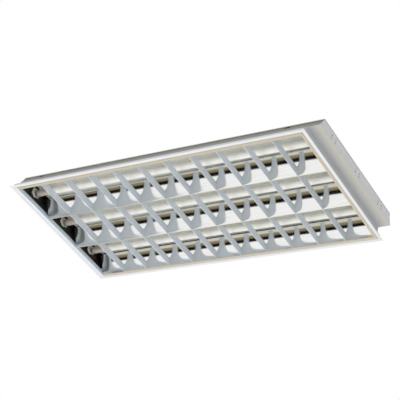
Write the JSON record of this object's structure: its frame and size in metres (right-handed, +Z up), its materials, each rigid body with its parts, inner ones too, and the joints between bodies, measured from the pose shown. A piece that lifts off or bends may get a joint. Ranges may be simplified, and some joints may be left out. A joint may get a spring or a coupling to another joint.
{
  "type": "recessed troffer light",
  "caption": "Recessed rectangular ceiling troffer with fluorescent tubes behind a hinged parabolic mirror louvre in a white steel trim, with one end of the body overhanging the trim.",
  "frame": {"origin": "centre of the four suspension holes, on the top face of the gear tray, over the middle of the trim", "axes": "+X along the lamps towards the overhanging end, +Y across the lamps towards the hinged side of the louvre, +Z up into the ceiling"},
  "size_m": [1.2295, 0.595, 0.0781],
  "materials": {
    "white_enamel": "smooth semi-gloss white stove enamel",
    "zinc_steel": "bare zinc-coated sheet",
    "mirror_aluminium": "bright anodised mirror sheet",
    "satin_aluminium": "satin anodised sheet",
    "holder_plastic": "white moulded, fine matt",
    "rotor_plastic": "white moulded, smooth",
    "phosphor_glass": "smooth glass, coated white inside",
    "cap_aluminium": "plain drawn cap",
    "brass_pin": "bright turned",
    "core_steel": "dipped dark varnish",
    "coil_plastic": "dark red moulded bobbin",
    "capacitor_plastic": "pale grey moulded",
    "terminal_plastic": "white moulded",
    "starter_plastic": "smooth white can",
    "grommet_rubber": "matt black"
  },
  "bodies": {
    "housing": {"ballast_coils": "coil_plastic", "ballast_core_1": "core_steel", "ballast_core_2": "core_steel", "ballast_core_3": "core_steel", "cable_grommet": "grommet_rubber", "capacitor": "capacitor_plastic", "catch_springs": "zinc_steel", "end_plate_left": "white_enamel", "end_plate_right": "white_enamel", "end_step": "white_enamel", "gear_cover_1": "white_enamel", "gear_cover_2": "white_enamel", "gear_screws": "zinc_steel", "gear_tray": "zinc_steel", "hinge_brackets": "zinc_steel", "lampholder_1_left": "holder_plastic", "lampholder_1_right": "holder_plastic", "lampholder_2_left": "holder_plastic", "lampholder_2_right": "holder_plastic", "lampholder_3_left": "holder_plastic", "lampholder_3_right": "holder_plastic", "side_wall_far": "white_enamel", "side_wall_near": "white_enamel", "starter_sockets": "terminal_plastic", "terminal_block": "terminal_plastic", "trim_frame": "white_enamel"},
    "louvre": {"cross_blade_01": "satin_aluminium", "cross_blade_02": "satin_aluminium", "cross_blade_03": "satin_aluminium", "cross_blade_04": "satin_aluminium", "cross_blade_05": "satin_aluminium", "cross_blade_06": "satin_aluminium", "cross_blade_07": "satin_aluminium", "cross_blade_08": "satin_aluminium", "cross_blade_09": "satin_aluminium", "cross_blade_10": "satin_aluminium", "hinge_knuckles": "zinc_steel", "louvre_end_left": "satin_aluminium", "louvre_end_right": "satin_aluminium", "side_reflector_far": "mirror_aluminium", "side_reflector_near": "mirror_aluminium", "v_reflector_1": "mirror_aluminium", "v_reflector_2": "mirror_aluminium"},
    "lamp_1": {"lamp_1_caps": "cap_aluminium", "lamp_1_pins": "brass_pin", "lamp_1_rotors": "rotor_plastic", "lamp_1_tube": "phosphor_glass"},
    "lamp_2": {"lamp_2_caps": "cap_aluminium", "lamp_2_pins": "brass_pin", "lamp_2_rotors": "rotor_plastic", "lamp_2_tube": "phosphor_glass"},
    "lamp_3": {"lamp_3_caps": "cap_aluminium", "lamp_3_pins": "brass_pin", "lamp_3_rotors": "rotor_plastic", "lamp_3_tube": "phosphor_glass"},
    "starter_1": {"starter_1": "starter_plastic"},
    "starter_2": {"starter_2": "starter_plastic"},
    "starter_3": {"starter_3": "starter_plastic"}
  },
  "joints": [
    {"name": "louvre_swing", "type": "hinge", "parent": "housing", "child": "louvre", "pos_m": [0, 0.279, -0.071], "axis": [1, 0, 0], "range_deg": [0, 90]},
    {"name": "lamp_1_turn", "type": "hinge", "parent": "housing", "child": "lamp_1", "pos_m": [0.0125, -0.1818, -0.024], "axis": [1, 0, 0], "range_deg": [0, 90]},
    {"name": "lamp_2_turn", "type": "hinge", "parent": "housing", "child": "lamp_2", "pos_m": [0.0125, 0, -0.024], "axis": [1, 0, 0], "range_deg": [0, 90]},
    {"name": "lamp_3_turn", "type": "hinge", "parent": "housing", "child": "lamp_3", "pos_m": [0.0125, 0.1818, -0.024], "axis": [1, 0, 0], "range_deg": [0, 90]},
    {"name": "starter_1_turn", "type": "hinge", "parent": "housing", "child": "starter_1", "pos_m": [-0.21, -0.0909, -0.025], "axis": [0, 0, 1], "range_deg": [0, 50]},
    {"name": "starter_2_turn", "type": "hinge", "parent": "housing", "child": "starter_2", "pos_m": [0, -0.0909, -0.025], "axis": [0, 0, 1], "range_deg": [0, 50]},
    {"name": "starter_3_turn", "type": "hinge", "parent": "housing", "child": "starter_3", "pos_m": [-0.21, 0.0909, -0.025], "axis": [0, 0, 1], "range_deg": [0, 50]}
  ]
}
